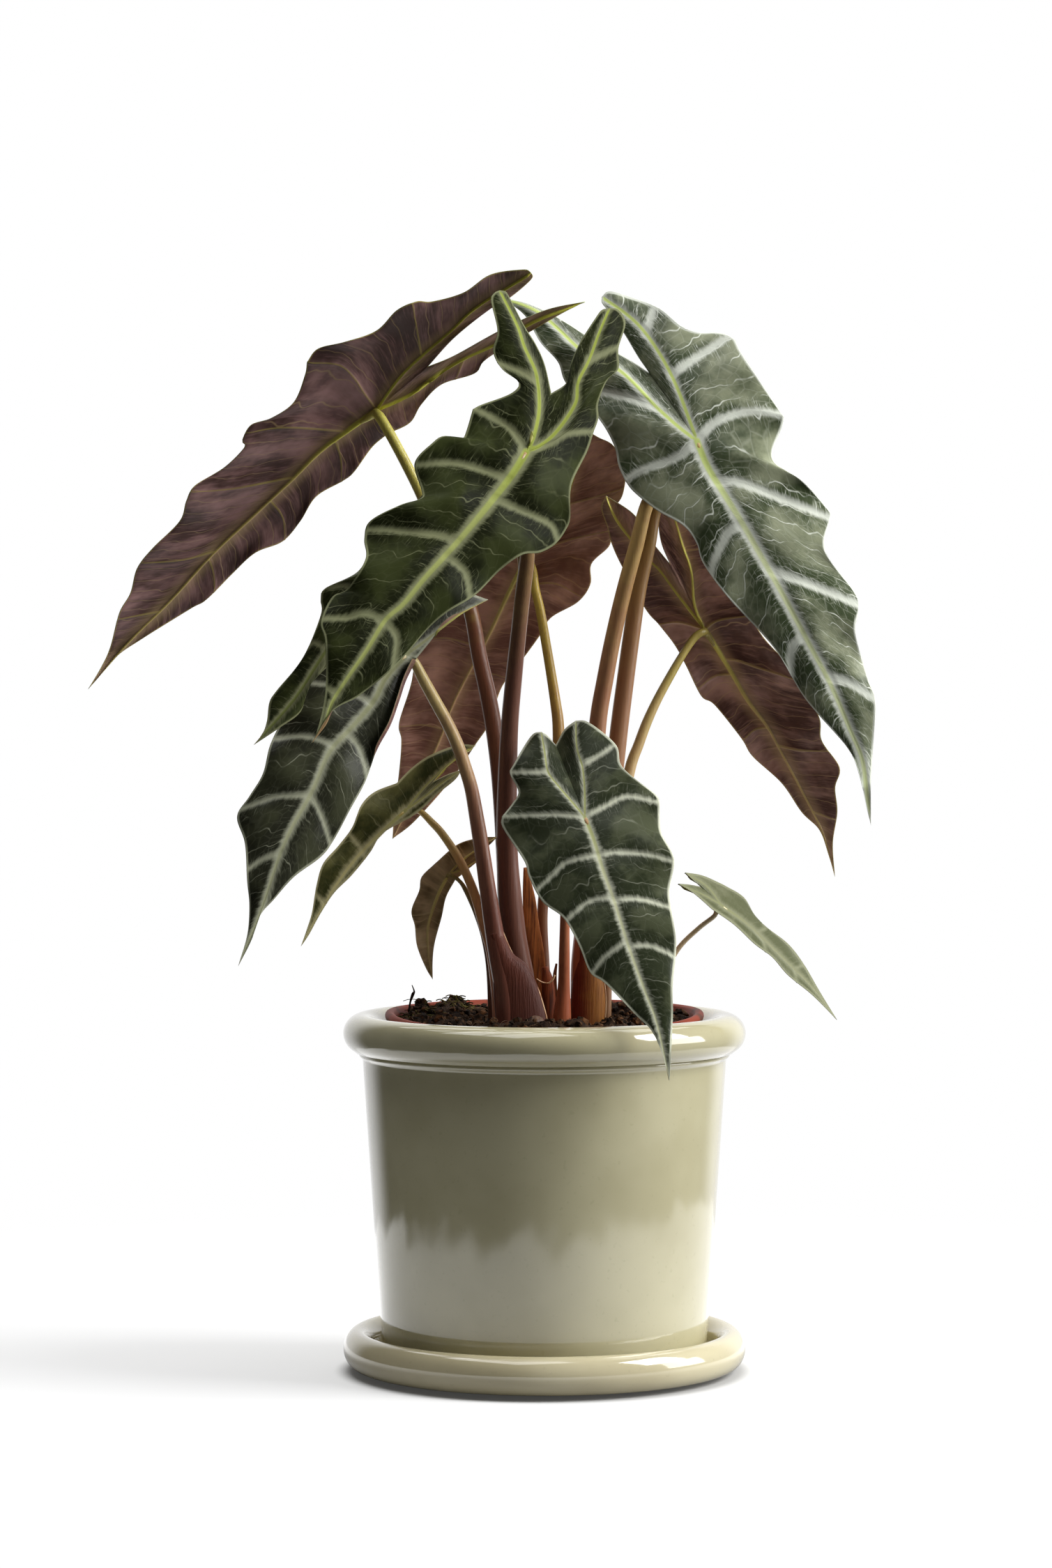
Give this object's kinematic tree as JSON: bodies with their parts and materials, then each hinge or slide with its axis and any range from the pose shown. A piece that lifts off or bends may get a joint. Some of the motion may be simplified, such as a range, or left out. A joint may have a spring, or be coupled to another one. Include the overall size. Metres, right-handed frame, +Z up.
{
  "type": "potted alocasia plant",
  "caption": "Potted aroid house plant with long arrow shaped wavy leaves on stalks rising from soil, in a round rolled rim glazed pot standing on a saucer.",
  "frame": {"origin": "middle of the saucer's flat underside, on the pot's axis", "axes": "+Z up along the pot's axis, -Y towards the plant's front as pictured, +X to the right"},
  "size_m": [0.3553, 0.2195, 0.4915],
  "materials": {
    "saucer": "glossy pale sage glaze",
    "outer_pot": "glossy pale sage glaze",
    "nursery_pot": "matt terracotta coloured plastic",
    "potting_soil": "dark crumbly potting soil",
    "leaf_01_blade": "satin living leaf, dark green above with pale veins, purple brown below",
    "leaf_01_petiole": "satin living stalk, brown purple at the foot and olive at the top",
    "leaf_02_blade": "satin living leaf, dark green above with pale veins, purple brown below",
    "leaf_02_petiole": "satin living stalk, brown purple at the foot and olive at the top",
    "leaf_03_blade": "satin living leaf, dark green above with pale veins, purple brown below",
    "leaf_03_petiole": "satin living stalk, brown purple at the foot and olive at the top",
    "leaf_04_blade": "satin living leaf, dark green above with pale veins, purple brown below",
    "leaf_04_petiole": "satin living stalk, brown purple at the foot and olive at the top",
    "leaf_05_blade": "satin living leaf, dark green above with pale veins, purple brown below",
    "leaf_05_petiole": "satin living stalk, brown purple at the foot and olive at the top",
    "leaf_06_blade": "satin living leaf, dark green above with pale veins, purple brown below",
    "leaf_06_petiole": "satin living stalk, brown purple at the foot and olive at the top",
    "leaf_07_blade": "satin living leaf, dark green above with pale veins, purple brown below",
    "leaf_07_petiole": "satin living stalk, brown purple at the foot and olive at the top",
    "leaf_08_blade": "satin living leaf, dark green above with pale veins, purple brown below",
    "leaf_08_petiole": "satin living stalk, brown purple at the foot and olive at the top",
    "leaf_09_blade": "satin living leaf, dark green above with pale veins, purple brown below",
    "leaf_09_petiole": "satin living stalk, brown purple at the foot and olive at the top",
    "leaf_10_blade": "satin living leaf, dark green above with pale veins, purple brown below",
    "leaf_10_petiole": "satin living stalk, brown purple at the foot and olive at the top",
    "leaf_11_blade": "satin living leaf, dark green above with pale veins, purple brown below",
    "leaf_11_petiole": "satin living stalk, brown purple at the foot and olive at the top",
    "leaf_12_blade": "satin living leaf, dark green above with pale veins, purple brown below",
    "leaf_12_petiole": "satin living stalk, brown purple at the foot and olive at the top",
    "papery_sheath": "dry papery orange brown sheath",
    "split_sheath": "dry papery orange brown sheath",
    "sheath_tip": "dry papery orange brown sheath",
    "corm": "dry brown fibrous corm"
  },
  "bodies": {
    "root": {"saucer": "saucer", "outer_pot": "outer_pot", "nursery_pot": "nursery_pot", "potting_soil": "potting_soil", "leaf_01_blade": "leaf_01_blade", "leaf_01_petiole": "leaf_01_petiole", "leaf_02_blade": "leaf_02_blade", "leaf_02_petiole": "leaf_02_petiole", "leaf_03_blade": "leaf_03_blade", "leaf_03_petiole": "leaf_03_petiole", "leaf_04_blade": "leaf_04_blade", "leaf_04_petiole": "leaf_04_petiole", "leaf_05_blade": "leaf_05_blade", "leaf_05_petiole": "leaf_05_petiole", "leaf_06_blade": "leaf_06_blade", "leaf_06_petiole": "leaf_06_petiole", "leaf_07_blade": "leaf_07_blade", "leaf_07_petiole": "leaf_07_petiole", "leaf_08_blade": "leaf_08_blade", "leaf_08_petiole": "leaf_08_petiole", "leaf_09_blade": "leaf_09_blade", "leaf_09_petiole": "leaf_09_petiole", "leaf_10_blade": "leaf_10_blade", "leaf_10_petiole": "leaf_10_petiole", "leaf_11_blade": "leaf_11_blade", "leaf_11_petiole": "leaf_11_petiole", "leaf_12_blade": "leaf_12_blade", "leaf_12_petiole": "leaf_12_petiole", "papery_sheath": "papery_sheath", "split_sheath": "split_sheath", "sheath_tip": "sheath_tip", "corm": "corm"}
  },
  "joints": []
}
